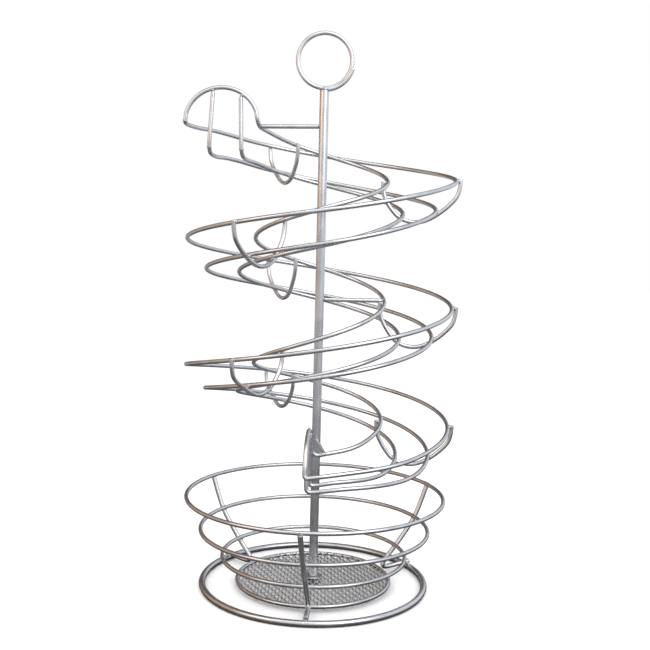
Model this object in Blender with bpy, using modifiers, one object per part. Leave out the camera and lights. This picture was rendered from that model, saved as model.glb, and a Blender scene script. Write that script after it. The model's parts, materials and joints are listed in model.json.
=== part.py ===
"""Spiral wire egg rack: a four-rail track coils round a post that stands in a wire basket.

Metres, +Z up. The origin is the centre of the base ring, on the table. The front is -Y.
Run with: blender --background --python part.py
"""
import math

import bmesh
import bpy
from mathutils import Matrix, Vector

MM = 0.001
GAP = 0.25 * MM                    # clearance between pieces that touch or are welded together

# Wire and rod diameters
TRACK_WIRE = 3.0 * MM              # rails, hoops, arms, handle ring and basket rings
RIB_WIRE = 3.6 * MM
BASE_WIRE = 4.6 * MM
POST_ROD = 6.4 * MM

# Base and basket: centreline radius and height of each ring
BASE_RING_RADIUS = 81.6 * MM
MESH_RIM = (55.8 * MM, 3.8 * MM)
BASKET_RINGS = {
    "basket_ring_lower": (67.1 * MM, 22.0 * MM),
    "basket_ring_middle": (83.2 * MM, 42.7 * MM),
    "basket_ring_top": (93.7 * MM, 67.1 * MM),
}
RING_CORNER = 26.0                 # azimuth of one corner of every level ring
RIB_AZIMUTHS = {                   # at the foot and at the top; the front rib leans
    "basket_rib_back_right": (26.0, 26.0),
    "basket_rib_back_left": (146.0, 146.0),
    "basket_rib_front": (267.2, 264.8),
}
RIB_BEND_RADIUS = 2.5 * MM
RIB_OVERHANG = RIB_WIRE / 4        # how far a rib's foot runs past the middle of the base ring

# Expanded-metal floor
MESH_HEIGHT = 4.4 * MM             # of the middle of the sheet
MESH_THICKNESS = 1.0 * MM
CELL_LENGTH = 16.0 * MM            # from front to back
CELL_WIDTH = 9.0 * MM
STRAND_WIDTH = 1.8 * MM
HUB_RADIUS = 8.0 * MM
EDGE_BAND = 1.5 * MM

# Screw that holds the post to the floor
SCREW_SHANK = 4.0 * MM
SCREW_HOLE = 4.8 * MM
SCREW_HEAD = 8.4 * MM
SCREW_HEAD_HEIGHT = 1.9 * MM
SCREW_ENGAGEMENT = 10.0 * MM
SLOT_WIDTH = 1.0 * MM
SLOT_DEPTH = 0.9 * MM
WASHER_DIAMETER = 14.0 * MM
WASHER_THICKNESS = 0.8 * MM

# Track: a helix that runs down clockwise, seen from above, from the left side to the front
PITCH = 85.8 * MM
TRACK_START = 180.0                # azimuths in degrees; they count down as the track descends
TRACK_END = -814.0
RAILS = {                          # centreline radius, and height at the start of the helix
    "outer_upper": (94.8 * MM, 337.0 * MM),
    "outer_lower": (81.2 * MM, 316.1 * MM),
    "inner_lower": (58.0 * MM, 314.4 * MM),
    "inner_upper": (46.7 * MM, 339.0 * MM),
}
FLARE = 3.5 * MM                   # the outer upper rail widens by this at both ends
FLARE_SPAN = 25.0
FIRST_RISE = {                     # how far each rail's first half turn stands above its helix
    "outer_upper": 4.5 * MM,
    "outer_lower": 4.5 * MM,
    "inner_lower": 2.5 * MM,
    "inner_upper": 0.0,
}
RISE_SPAN = 90.0                   # a rail comes down to its helix over this angle, right to front
START_DROP = {                     # how far below that half turn each rail starts
    "outer_upper": 7.0 * MM,
    "outer_lower": 7.0 * MM,
    "inner_lower": 4.5 * MM,
    "inner_upper": 3.5 * MM,
}
DROP_SPAN = 40.0
LIFTS = {                          # rise towards the bottom end, and the angle it is spread over
    "upper": (3.8 * MM, 45.0),
    "lower": (11.0 * MM, 68.0),
}
UPPER_SAG = 4.0 * MM               # the upper rails hang this far below their helix at the second turn
SAG_AZIMUTH = -555.0
SAG_SPAN = 190.0
ARCH_HEIGHT = 24.1 * MM            # rise of the arch that closes each end of the track
OUTER_CORNER = 1.8 * MM            # bend radius where an arch meets the outer upper rail,
INNER_CORNER = 5.0 * MM            # where it sweeps into the inner upper rail,
TOP_CORNER = 7.0 * MM              # where the lower rails turn up to the top arch,
BOTTOM_CORNER = 2.5 * MM           # and where they turn up to the bottom arch
BEND_ROOM = 1.4                    # length of rail kept free for a bend, over the bend's radius
UPRIGHT_LEAN = {                   # how far an upturned end leans towards the post
    "outer_lower": 2.5 * MM,
    "inner_lower": -0.9 * MM,
}

# Hoops: U-shaped cross wires that carry the rails
HOOP_COUNT = 8
FIRST_HOOP = 115.5
HOOP_SPACING = 120.0
HOOP_BELLY = 7.0 * MM              # depth of a hoop's bottom below the lower rails
HOOP_SHOULDER = 11.0 * MM          # depth at which a hoop's legs start to curve in
HOOP_HUG = math.radians(40.0)      # where a hoop touches a lower rail, below the horizontal
HOOP_TIP = TRACK_WIRE / 3          # how far a hoop's ends stand above the upper rails' centrelines
OUTER_LEG = 0.3                    # a leg's distance from the rail above it, at the shoulder,
INNER_LEG = 0.5                    # over its distance at the rail

# Straight arms from the post to the inner upper rail
ARM_INSET = 11.0                   # the end arms stand this far round from the arches, past the bends
ARM_AZIMUTHS = {
    "arm_top": TRACK_START - ARM_INSET,
    "arm_middle": -358.0,
    "arm_bottom": TRACK_END + ARM_INSET,
}

# Handle ring
HANDLE_RADIUS = 19.1 * MM
TOTAL_HEIGHT = 400.0 * MM

# Faceting: a corner lies under every hoop, rib and arm, so the gaps there are the drawn ones
FACET_STEP = 12.0
HEXAGON = 1                        # bevel resolution of a six-sided wire
OCTAGON = 2                        # bevel resolution of an eight-sided wire
CORNER_STEPS = 3
ARCH_STEPS = 10
TURN_STEP = 0.01                   # for the slope of an arch, in radians
ROD_FACETS = 16
PLATE_FACETS = 36

# Heights that follow from the sizes above
OCTAGON_FLAT = math.cos(math.pi / 8)
BASE_RING_HEIGHT = BASE_WIRE / 2 * OCTAGON_FLAT
RIB_FOOT_HEIGHT = 2 * BASE_RING_HEIGHT + GAP + RIB_WIRE / 2
MESH_BOTTOM = MESH_HEIGHT - MESH_THICKNESS / 2
MESH_TOP = MESH_HEIGHT + MESH_THICKNESS / 2
UPPER_WASHER_BOTTOM = MESH_TOP + GAP
LOWER_WASHER_TOP = MESH_BOTTOM - GAP
SCREW_HEAD_TOP = LOWER_WASHER_TOP - WASHER_THICKNESS - GAP
POST_BOTTOM = UPPER_WASHER_BOTTOM + WASHER_THICKNESS + GAP
HANDLE_HEIGHT = TOTAL_HEIGHT - TRACK_WIRE / 2 - HANDLE_RADIUS
POST_TOP = HANDLE_HEIGHT - HANDLE_RADIUS - TRACK_WIRE / 2 - GAP


# ---------------------------------------------------------------- scene and materials

def clear_scene():
    for thing in list(bpy.data.objects):
        bpy.data.objects.remove(thing, do_unlink=True)


def new_collection(name):
    collection = bpy.data.collections.new(name)
    bpy.context.scene.collection.children.link(collection)
    return collection


def metal(name, colour, roughness):
    material = bpy.data.materials.new(name)
    material.use_nodes = True
    shader = material.node_tree.nodes["Principled BSDF"]
    shader.inputs["Base Color"].default_value = (*colour, 1.0)
    shader.inputs["Metallic"].default_value = 1.0
    shader.inputs["Roughness"].default_value = roughness
    return material


# ---------------------------------------------------------------- points and paths

def polar(radius, azimuth, height):
    angle = math.radians(azimuth)
    return Vector((radius * math.cos(angle), radius * math.sin(angle), height))


def section(radius, height):
    """A point of a radial section: x is the radius and z the height."""
    return Vector((radius, 0.0, height))


def in_plane(points, azimuth):
    """Section points placed in the radial plane at an azimuth."""
    return [polar(point.x, azimuth, point.z) for point in points]


def ease(value):
    """Smooth step from 0 to 1."""
    value = min(max(value, 0.0), 1.0)
    return value * value * (3.0 - 2.0 * value)


def fillet(before, corner, after, radius, steps=CORNER_STEPS):
    """Points of the arc that rounds the corner between two straight runs."""
    back = (before - corner).normalized()
    ahead = (after - corner).normalized()
    half_angle = back.angle(ahead) / 2
    centre = corner + (back + ahead).normalized() * radius / math.sin(half_angle)
    start = corner + back * radius / math.tan(half_angle) - centre
    end = corner + ahead * radius / math.tan(half_angle) - centre
    sweep = start.angle(end)
    points = []
    for step in range(steps + 1):
        part = step / steps
        arm = start * math.sin((1 - part) * sweep) + end * math.sin(part * sweep)
        points.append(centre + arm / math.sin(sweep))
    return points


def smooth_path(knots, steps):
    """Catmull-Rom curve through the knots."""
    ends = [2 * knots[0] - knots[1]] + knots + [2 * knots[-1] - knots[-2]]
    points = []
    for before, start, end, after in zip(ends, ends[1:], ends[2:], ends[3:]):
        for step in range(steps):
            part = step / steps
            linear = (end - before) * part
            square = (2 * before - 5 * start + 4 * end - after) * part ** 2
            cube = (3 * start - before - 3 * end + after) * part ** 3
            points.append(start + (linear + square + cube) / 2)
    return points + [knots[-1]]


# ---------------------------------------------------------------- solids

def wire(name, points, diameter, sides=HEXAGON, closed=False):
    """A round wire along the points."""
    curve = bpy.data.curves.new(name, "CURVE")
    curve.dimensions = "3D"
    curve.bevel_depth = diameter / 2
    curve.bevel_resolution = sides
    curve.use_fill_caps = True
    spline = curve.splines.new("POLY")
    spline.points.add(len(points) - 1)
    for place, point in zip(spline.points, points):
        place.co = (*point, 1.0)
    spline.use_cyclic_u = closed
    return bpy.data.objects.new(name, curve)


def turned(name, profile, facets, closed=False):
    """A profile of (radius, height) pairs, top to bottom on its outer side, turned about Z."""
    mesh = bpy.data.meshes.new(name)
    corners = [(radius, 0.0, height) for radius, height in profile]
    edges = [(index, index + 1) for index in range(len(corners) - 1)]
    if closed:
        edges.append((len(corners) - 1, 0))
    mesh.from_pydata(corners, edges, [])
    piece = bpy.data.objects.new(name, mesh)
    screw = piece.modifiers.new("turn", "SCREW")
    screw.steps = facets
    screw.render_steps = facets
    screw.use_merge_vertices = True
    screw.merge_threshold = 0.01 * MM
    screw.use_smooth_shade = False
    return piece


def cut(piece, cutter):
    boolean = piece.modifiers.new(cutter.name, "BOOLEAN")
    boolean.operation = "DIFFERENCE"
    boolean.solver = "EXACT"
    boolean.object = cutter


def cutter(name, shape):
    """A hidden cutting object made from a bmesh, which it frees."""
    mesh = bpy.data.meshes.new(name)
    shape.to_mesh(mesh)
    shape.free()
    piece = bpy.data.objects.new(name, mesh)
    piece.hide_render = True
    piece.display_type = "WIRE"
    return piece


# ---------------------------------------------------------------- base and basket

def level_ring(name, radius, height, diameter, sides=HEXAGON):
    """A horizontal wire ring with a corner at each rib, turned so that it rests on a flat."""
    count = round(360 / FACET_STEP)
    points = [polar(radius, RING_CORNER + FACET_STEP * step, height) for step in range(count)]
    piece = wire(name, points, diameter, sides, closed=True)
    piece.data.twist_mode = "Z_UP"
    for place in piece.data.splines[0].points:
        place.tilt = math.pi / (4 + 2 * sides)
    return piece


def rib(name, foot_azimuth, top_azimuth):
    """Down the outside of the basket rings, round the mesh rim, and out onto the base ring."""
    offset = (TRACK_WIRE + RIB_WIRE) / 2 + GAP
    rim, lower, middle, top = [section(*ring) for ring in [MESH_RIM, *BASKET_RINGS.values()]]
    outward = Vector((1.0, 0.0, 0.0))
    slopes = [(middle - lower).normalized(), (top - middle).normalized()]
    sides = [Vector((slope.z, 0.0, -slope.x)) for slope in slopes]
    slant = smooth_path([
        top + sides[1] * offset + slopes[1] * TRACK_WIRE / 2,
        middle + (sides[0] + sides[1]).normalized() * offset,
        lower + sides[0] * offset,
    ], 3)
    upward = (slant[-1] - rim).normalized()
    bisector = (upward + outward).normalized()
    bend_centre = rim + bisector * (offset + RIB_BEND_RADIUS)
    bend = bend_centre - bisector * RIB_BEND_RADIUS / math.sin(upward.angle(outward) / 2)
    foot = section(BASE_RING_RADIUS + RIB_OVERHANG, RIB_FOOT_HEIGHT)
    path = slant + fillet(slant[-1], bend, foot, RIB_BEND_RADIUS) + [foot]
    lean = (top_azimuth - foot_azimuth) / (path[0].z - foot.z)
    points = [polar(point.x, foot_azimuth + lean * (point.z - foot.z), point.z) for point in path]
    return wire(name, points, RIB_WIRE)


def mesh_openings(reach):
    """Diamond prisms, long from front to back, in staggered rows outside the hub."""
    half_length = CELL_LENGTH / 2
    half_width = CELL_WIDTH / 2
    side_distance = half_length * half_width / math.hypot(half_length, half_width)
    inset = 1 - STRAND_WIDTH / 2 / side_distance
    size = Matrix.Diagonal((half_width * inset, half_length * inset, 2 * MESH_THICKNESS, 1.0))
    rows = round(reach / half_width)
    columns = round(reach / CELL_LENGTH)
    shape = bmesh.new()
    for row in range(-rows, rows + 1):
        for column in range(-columns, columns + 1):
            across = row * half_width
            along = (column + row % 2 / 2) * CELL_LENGTH
            tip = math.hypot(across, abs(along) + half_length * inset)
            flank = math.hypot(abs(across) + half_width * inset, along)
            near = math.hypot(across, along) - half_length * inset
            if max(tip, flank) < reach and near > HUB_RADIUS - half_width:
                place = Matrix.Translation((across, along, MESH_HEIGHT))
                bmesh.ops.create_cone(shape, cap_ends=True, segments=4, radius1=1.0,
                                      radius2=1.0, depth=1.0, matrix=place @ size)
    return cutter("mesh_openings", shape)


def mesh_floor(cutters):
    """Expanded-metal disc with a plain rim and a pierced hub."""
    corner_shrink = math.cos(math.radians(FACET_STEP / 2))
    edge = MESH_RIM[0] * corner_shrink - TRACK_WIRE / 2 - GAP
    hole = SCREW_HOLE / 2
    profile = [(hole, MESH_TOP), (edge, MESH_TOP), (edge, MESH_BOTTOM), (hole, MESH_BOTTOM)]
    floor = turned("mesh_floor", profile, PLATE_FACETS, closed=True)
    openings = mesh_openings(edge - EDGE_BAND)
    cutters.objects.link(openings)
    cut(floor, openings)
    return floor


def washer(name, top):
    bottom = top - WASHER_THICKNESS
    hole = SCREW_HOLE / 2
    edge = WASHER_DIAMETER / 2
    profile = [(hole, top), (edge, top), (edge, bottom), (hole, bottom)]
    return turned(name, profile, 2 * ROD_FACETS, closed=True)


def fixing_screw(cutters):
    """Slotted screw, head down, up through the floor into the end of the post."""
    shank = SCREW_SHANK / 2
    head = SCREW_HEAD / 2
    head_bottom = SCREW_HEAD_TOP - SCREW_HEAD_HEIGHT
    tip = POST_BOTTOM + SCREW_ENGAGEMENT
    screw = turned("fixing_screw", [
        (0.0, tip), (shank, tip), (shank, SCREW_HEAD_TOP),
        (head, SCREW_HEAD_TOP), (head, head_bottom), (0.0, head_bottom),
    ], ROD_FACETS)
    shape = bmesh.new()
    size = Matrix.Diagonal((2 * SCREW_HEAD, SLOT_WIDTH, 2 * SLOT_DEPTH, 1.0))
    bmesh.ops.create_cube(shape, matrix=Matrix.Translation((0.0, 0.0, head_bottom)) @ size)
    slot = cutter("driver_slot", shape)
    cutters.objects.link(slot)
    cut(screw, slot)
    return screw


# ---------------------------------------------------------------- post and handle

def centre_post():
    """Round rod with a bore for the screw in its lower end."""
    rod = POST_ROD / 2
    bore = SCREW_SHANK / 2 + GAP
    bore_top = POST_BOTTOM + SCREW_ENGAGEMENT + GAP
    return turned("centre_post", [
        (0.0, POST_TOP), (rod, POST_TOP), (rod, POST_BOTTOM),
        (bore, POST_BOTTOM), (bore, bore_top), (0.0, bore_top),
    ], ROD_FACETS)


def handle_ring():
    count = round(360 / FACET_STEP)
    points = []
    for step in range(count):
        angle = math.radians(FACET_STEP * step - 90.0)
        across = HANDLE_RADIUS * math.cos(angle)
        points.append(Vector((across, 0.0, HANDLE_HEIGHT + HANDLE_RADIUS * math.sin(angle))))
    return wire("handle_ring", points, TRACK_WIRE, closed=True)


def arm(name, azimuth):
    """Level wire from the post to the axis side of the inner upper rail."""
    radius, height = rail_section("inner_upper", azimuth)
    inner = POST_ROD / 2 + GAP
    outer = radius - TRACK_WIRE / 2 - GAP
    return wire(name, [polar(inner, azimuth, height), polar(outer, azimuth, height)], TRACK_WIRE)


# ---------------------------------------------------------------- track

def rail_section(rail, azimuth):
    """Radius and height of a rail's centreline at an azimuth."""
    radius, height = RAILS[rail]
    from_start = TRACK_START - azimuth
    to_end = azimuth - TRACK_END
    level = rail.split("_")[1]
    lift, span = LIFTS[level]
    height += lift * ease(1 - to_end / span) - PITCH * from_start / 360
    if level == "upper":
        height -= UPPER_SAG * ease(1 - abs(azimuth - SAG_AZIMUTH) / SAG_SPAN)
    height += FIRST_RISE[rail] * ease(azimuth / RISE_SPAN + 1)
    height -= START_DROP[rail] * ease(1 - from_start / DROP_SPAN)
    if rail == "outer_upper":
        radius += FLARE * ease(1 - min(from_start, to_end) / FLARE_SPAN)
    return radius, height


def rail_point(rail, azimuth):
    radius, height = rail_section(rail, azimuth)
    return polar(radius, azimuth, height)


def helix(rail, corner_radius):
    """Points of a rail between the bends at its ends, with one at each hoop and arm it meets."""
    first = FIRST_HOOP + FACET_STEP * math.floor((TRACK_START - FIRST_HOOP) / FACET_STEP)
    count = round((first - TRACK_END) / FACET_STEP) + 1
    azimuths = [first - FACET_STEP * step for step in range(count)]
    if rail == "inner_upper":
        azimuths += ARM_AZIMUTHS.values()
    margin = math.degrees(BEND_ROOM * corner_radius / RAILS[rail][0])
    clear = [azimuth for azimuth in azimuths if TRACK_END + margin < azimuth < TRACK_START - margin]
    return [rail_point(rail, azimuth) for azimuth in sorted(clear, reverse=True)]


def arch_point(azimuth, turn):
    """Point of the half-oval over the upper rails; turn is 0 at the outer rail, pi at the inner."""
    outer = section(*rail_section("outer_upper", azimuth))
    inner = section(*rail_section("inner_upper", azimuth))
    rise = Vector((0.0, 0.0, ARCH_HEIGHT))
    return (outer + inner) / 2 + (outer - inner) / 2 * math.cos(turn) + rise * math.sin(turn)


def arch(azimuth, outer_next, inner_next):
    """From the outer rail's bend, over, and round the bend a little way into the inner rail."""
    outer_corner = rail_point("outer_upper", azimuth)
    inner_corner = rail_point("inner_upper", azimuth)
    points = [arch_point(azimuth, math.pi * step / ARCH_STEPS) for step in range(1, ARCH_STEPS)]
    room = BEND_ROOM * INNER_CORNER
    over = [point for point in in_plane(points, azimuth) if (point - inner_corner).length > room]
    outer_bend = fillet(outer_next, outer_corner, over[0], OUTER_CORNER)
    inner_bend = fillet(over[-1], inner_corner, inner_next, INNER_CORNER)
    end = inner_bend[-1] + (inner_next - inner_corner).normalized() * 2 * GAP
    return outer_bend + over + inner_bend + [end]


def upper_rails():
    """The outer wire makes both arches as well, and the inner one butts against its ends."""
    outer = helix("outer_upper", OUTER_CORNER)
    inner = helix("inner_upper", INNER_CORNER)
    top_arch = arch(TRACK_START, outer[0], inner[0])
    bottom_arch = arch(TRACK_END, outer[-1], inner[-1])
    top_seam = top_arch[-1] + (inner[0] - top_arch[-1]).normalized() * GAP
    bottom_seam = bottom_arch[-1] + (inner[-1] - bottom_arch[-1]).normalized() * GAP
    return [
        wire("rail_outer_upper", top_arch[::-1] + outer + bottom_arch, TRACK_WIRE),
        wire("rail_inner_upper", [top_seam, *inner, bottom_seam], TRACK_WIRE),
    ]


def upright_end(rail, azimuth):
    """Top of a lower rail's upturned end, just under the arch."""
    radius = rail_section(rail, azimuth)[0] - UPRIGHT_LEAN[rail]
    outer = rail_section("outer_upper", azimuth)[0]
    inner = rail_section("inner_upper", azimuth)[0]
    turn = math.acos((2 * radius - outer - inner) / (outer - inner))
    above = arch_point(azimuth, turn)
    slope = arch_point(azimuth, turn - TURN_STEP) - arch_point(azimuth, turn + TURN_STEP)
    steepness = abs(slope.z / slope.x)
    clearance = (TRACK_WIRE / 2 + GAP) * math.hypot(1.0, steepness)
    above.z -= clearance + TRACK_WIRE / 2 * steepness
    return in_plane([above], azimuth)[0]


def lower_rail(rail):
    """A helix whose two ends turn up to the arches."""
    run = helix(rail, TOP_CORNER)
    top_end = upright_end(rail, TRACK_START)
    bottom_end = upright_end(rail, TRACK_END)
    top_bend = fillet(top_end, rail_point(rail, TRACK_START), run[0], TOP_CORNER)
    bottom_bend = fillet(run[-1], rail_point(rail, TRACK_END), bottom_end, BOTTOM_CORNER)
    path = [top_end] + top_bend + run + bottom_bend + [bottom_end]
    return wire("rail_" + rail, path, TRACK_WIRE)


def hoop(number):
    """Cross wire down outside the outer rails, under the lower rails, up inside the inner ones."""
    azimuth = FIRST_HOOP - HOOP_SPACING * (number - 1)
    outer_upper, outer_lower, inner_lower, inner_upper = [
        section(*rail_section(rail, azimuth)) for rail in RAILS
    ]
    offset = TRACK_WIRE + GAP
    hug_out = section(math.cos(HOOP_HUG), -math.sin(HOOP_HUG)) * offset
    hug_in = section(-math.cos(HOOP_HUG), -math.sin(HOOP_HUG)) * offset
    out = section(offset, 0.0)
    tip = section(0.0, HOOP_TIP)
    shoulder = section(0.0, -HOOP_SHOULDER)
    path = smooth_path([
        outer_upper + out + tip,
        outer_upper + out * OUTER_LEG + shoulder,
        outer_lower + hug_out,
        (outer_lower + inner_lower) / 2 + section(0.0, -HOOP_BELLY),
        inner_lower + hug_in,
        inner_upper - out * INNER_LEG + shoulder,
        inner_upper - out + tip,
    ], 2)
    return wire(f"hoop_{number}", in_plane(path, azimuth), TRACK_WIRE)


# ---------------------------------------------------------------- assembly

def main():
    clear_scene()
    rack = new_collection("spiral_egg_rack")
    cutters = new_collection("cutters")
    silver = metal("satin_silver", (0.66, 0.67, 0.68), 0.32)
    zinc = metal("zinc_plate", (0.55, 0.56, 0.58), 0.42)

    base = [
        level_ring("base_ring", BASE_RING_RADIUS, BASE_RING_HEIGHT, BASE_WIRE, OCTAGON),
        level_ring("mesh_rim", *MESH_RIM, TRACK_WIRE),
        mesh_floor(cutters),
    ]
    base += [level_ring(name, *ring, TRACK_WIRE) for name, ring in BASKET_RINGS.items()]
    base += [rib(name, *azimuths) for name, azimuths in RIB_AZIMUTHS.items()]
    tower = [
        centre_post(),
        handle_ring(),
        *upper_rails(),
        lower_rail("outer_lower"),
        lower_rail("inner_lower"),
    ]
    tower += [arm(name, azimuth) for name, azimuth in ARM_AZIMUTHS.items()]
    tower += [hoop(number) for number in range(1, HOOP_COUNT + 1)]
    fixings = [
        washer("washer_upper", UPPER_WASHER_BOTTOM + WASHER_THICKNESS),
        washer("washer_lower", LOWER_WASHER_TOP),
        fixing_screw(cutters),
    ]
    for pieces, material in ((base, silver), (tower, silver), (fixings, zinc)):
        for piece in pieces:
            piece.data.materials.append(material)
            rack.objects.link(piece)


main()
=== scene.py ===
"""Looks of the spiral egg rack: round plated wires with their welds, and the expanded-metal floor.

Every wire follows the middle of its CAD node, read from the frame. Metres, +Z up, front -Y.
"""
import json
import math

import bmesh
import bpy
import numpy as np
from mathutils import Matrix, Vector, noise


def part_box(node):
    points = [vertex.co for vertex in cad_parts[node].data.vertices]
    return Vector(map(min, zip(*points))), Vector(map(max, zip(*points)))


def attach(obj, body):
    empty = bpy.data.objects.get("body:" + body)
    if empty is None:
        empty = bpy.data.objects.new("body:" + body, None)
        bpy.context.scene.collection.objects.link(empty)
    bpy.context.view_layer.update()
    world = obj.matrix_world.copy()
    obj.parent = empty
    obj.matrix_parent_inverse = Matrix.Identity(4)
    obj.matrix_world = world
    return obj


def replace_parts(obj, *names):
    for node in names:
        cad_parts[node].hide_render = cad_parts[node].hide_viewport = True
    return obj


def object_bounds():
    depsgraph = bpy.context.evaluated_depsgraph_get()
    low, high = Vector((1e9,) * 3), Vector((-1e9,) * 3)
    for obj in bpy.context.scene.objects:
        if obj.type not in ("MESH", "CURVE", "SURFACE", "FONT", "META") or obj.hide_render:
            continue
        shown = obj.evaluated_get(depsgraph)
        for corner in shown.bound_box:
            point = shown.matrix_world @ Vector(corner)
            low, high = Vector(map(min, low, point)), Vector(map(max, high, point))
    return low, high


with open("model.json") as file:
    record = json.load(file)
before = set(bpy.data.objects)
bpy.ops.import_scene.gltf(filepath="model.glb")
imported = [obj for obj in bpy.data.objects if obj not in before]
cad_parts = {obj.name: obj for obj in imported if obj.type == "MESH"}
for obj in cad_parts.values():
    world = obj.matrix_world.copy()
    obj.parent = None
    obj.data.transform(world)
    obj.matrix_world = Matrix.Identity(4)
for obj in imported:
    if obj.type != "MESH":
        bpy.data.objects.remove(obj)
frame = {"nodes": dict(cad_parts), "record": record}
CAD_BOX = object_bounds()

MM = 0.001
UP = Vector((0.0, 0.0, 1.0))
FRONT = Vector((0.0, -1.0, 0.0))

# Reading the CAD wires
MERGE = 0.001 * MM
FLAT = 0.002                       # faces this nearly in one plane count as one, in radians

# Wires
SIDES = 24
STEP = 1.3 * MM                    # length of a wire's faces where it is straight,
TURN_STEP = math.radians(7.0)      # and how far they turn in a bend
SPLINE_PARTS = 4                   # least number of parts between two knots
END_BEVEL = 0.3 * MM               # rounding of a sheared wire end
END_STEPS = 4
SEAM_TURN = -1.0                   # azimuth of the base ring's butt seam, from the front rib's foot
SEAM_DEPTH = 0.12 * MM
SEAM_WIDTH = 0.22 * MM
SEAM_STATIONS = 9
SEAM_SPAN = 2 * SEAM_WIDTH         # the stations reach this far on both sides of the seam
SEAM_CLEAR = 3 * SEAM_WIDTH        # the ring's own stations keep this far from it
HEAT_REACH = 5.0 * MM              # how far from a weld the plating is dulled

# Welds: sizes are half sizes
WELD_GAP = 0.6 * MM                # wires whose surfaces come this close are welded
CORNER_BEAD = 1.12                 # bead on a corner or an upright's foot, over the wire's radius
CROSS_BEAD = (1.55 * MM, 1.55 * MM, 1.0 * MM)      # along each wire, and from wire to wire
END_BEAD = 1.16                    # bead round a wire's end, over the wire's radius
END_BEAD_LENGTH = 1.1 * MM
IN_LINE_BEAD = END_BEAD - 0.06     # the same where the wires' middle lines meet
IN_LINE_LENGTH = 0.8 * END_BEAD_LENGTH
END_ON = 0.7                       # cosine between a wire and the gap above which its end meets the other
UPRIGHT_SLOPE = 0.96               # a wire steeper than this stands upright
BEAD_LUMPS = 0.20                  # swelling of a bead's lumps, over its size
LUMP_SCALE = 1.7                   # lumps across a bead
LUMP_SHIFT = (3.1, 1.7, 1.0)       # step through the noise from one bead to the next
BEAD_DETAIL = 3

# Handle ring: its wire's end laps over the ring's lower right side
LAP_START = -88.0                  # degrees from +X, anticlockwise seen from the front
LAP_END = -14.0
LAP_OUT = 1.15 * MM
LAP_FORWARD = 0.9 * MM
POST_CAP = (3.3 * MM, 3.0 * MM, 2.0 * MM)          # half sizes of the weld under the ring

# Expanded metal
DIAMOND_LENGTH = 10.0 * MM         # from front to back
DIAMOND_WIDTH = 5.0 * MM
STRAND_WIDTH = 1.2 * MM
STRAND_THICKNESS = 0.85 * MM
STRAND_TILT = math.radians(34.0)
BOND_SHARE = 0.2                   # share of a diamond's length where neighbouring strands are joined
SHEAR_EDGE = 0.12 * MM
STRAND_STEP = 0.55 * MM            # length of a strand's faces
SHORTEST_RUN = 3                   # a strand cut to fewer points than this is left out
RIM_OVERLAP = 0.25                 # the strands' ends lie this deep in the rim, over its wire's radius
FLOOR_HOLE = 0.62                  # radius of the floor's hole, over the screw head's
STRAND_SHARP = math.radians(50.0)

# Turned pieces
TURN_FACETS = 64
EDGE_STEPS = 4
WASHER_EDGE = 0.18 * MM
SCREW_EDGE = 0.45 * MM
HEAD_RIM = 0.99                    # share of the head's radius beyond which a corner is on its rim
CLEAR_OF_HEAD = 1.0 * MM
BORE_ROOM = 0.25 * MM              # round and above the screw in the post's bore
TURNED_SHARP = math.radians(40.0)

# Materials: colours are linear
COLOUR_EDGES = (0.35, 0.65)        # a noise's values between which one colour gives way to the other
GLOSS_EDGES = (0.3, 0.7)           # and between which the roughness changes
SILVER = (0.73, 0.74, 0.76)
SILVER_ROUGHNESS = 0.28
ZINC = (0.60, 0.61, 0.63)
ZINC_ROUGHNESS = 0.40
ZINC_CLOUD = 0.08
PIT_EDGES = (0.70, 0.80)
PIT_SHARE = 0.3                    # how much of a pit's tint shows
PIT_TINT = 0.55                    # a pit's colour, over the plating's
HEAT_SHARE = 0.4                   # how much of the heat's tint shows at a weld
HEAT_TINT = 0.66
WELD_TONES = ((0.48, 0.47, 0.46), (0.72, 0.72, 0.74))
SHEARED_TONES = ((0.42, 0.41, 0.41), (0.72, 0.72, 0.73))
# Strands' faces: painted shade, far darker than bare steel
STRAND_SHADE_TONES = ((0.10, 0.093, 0.09), (0.17, 0.165, 0.16))
# Strands' edges: painted highlight, also standing for rubbed wear
GLINT_AND_RUB = (0.95, 0.96, 0.98)
GLINT_AND_RUB_EDGES = (0.5, 0.58)         # pointiness between which a strand's edge turns bright

# Studio
WHITE = (1.0, 1.0, 1.0)
PAPER_HALF = 4.0                   # half the floor's side
PAPER_TONES = ((0.93, 0.93, 0.93), (0.96, 0.96, 0.96))
# Painted shade on the floor as reflections see it
MIRRORED_SHADE_TONES = ((0.085, 0.08, 0.08), (0.42, 0.43, 0.45))      # near the rack, and far from it
MIRRORED_REACH = (0.4, 1.0)        # distances from the rack where those two hold
# Mirrored room: how far up a direction points, from 0 straight down to 1 straight up, and its tone
ROOM_TONES = (
    (0.0, 0.22), (0.35, 0.26), (0.45, 0.40), (0.50, 0.62), (0.575, 0.76), (0.70, 0.86), (1.0, 0.80),
)
ROOM_TINT = (0.98, 1.0, 1.04)
FAR_WALL = ((0.13, 0.115, 0.11), (0.76, 0.79, 0.84))            # behind the rack: left, and right
FAR_WALL_EDGES = (0.05, 0.5)       # parts of a direction along X between which they change over
FAR_WALL_START = (-0.4, 0.1)       # and along Y between which the far wall takes over
SIDE_WALLS = ((-1, (0.62, 0.41, 0.28)), (1, (0.80, 0.83, 0.87)))
SIDE_EDGES = (0.35, 0.75)          # along X between which a side wall takes over
SIDE_LEVEL = (0.95, 0.6)           # along Z, and
SIDE_BEHIND = (0.9, 0.5)           # along Y, between which it fades
WORLD_GLOW = (1.15, 1.15, 1.15)    # what lights matt surfaces
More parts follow.
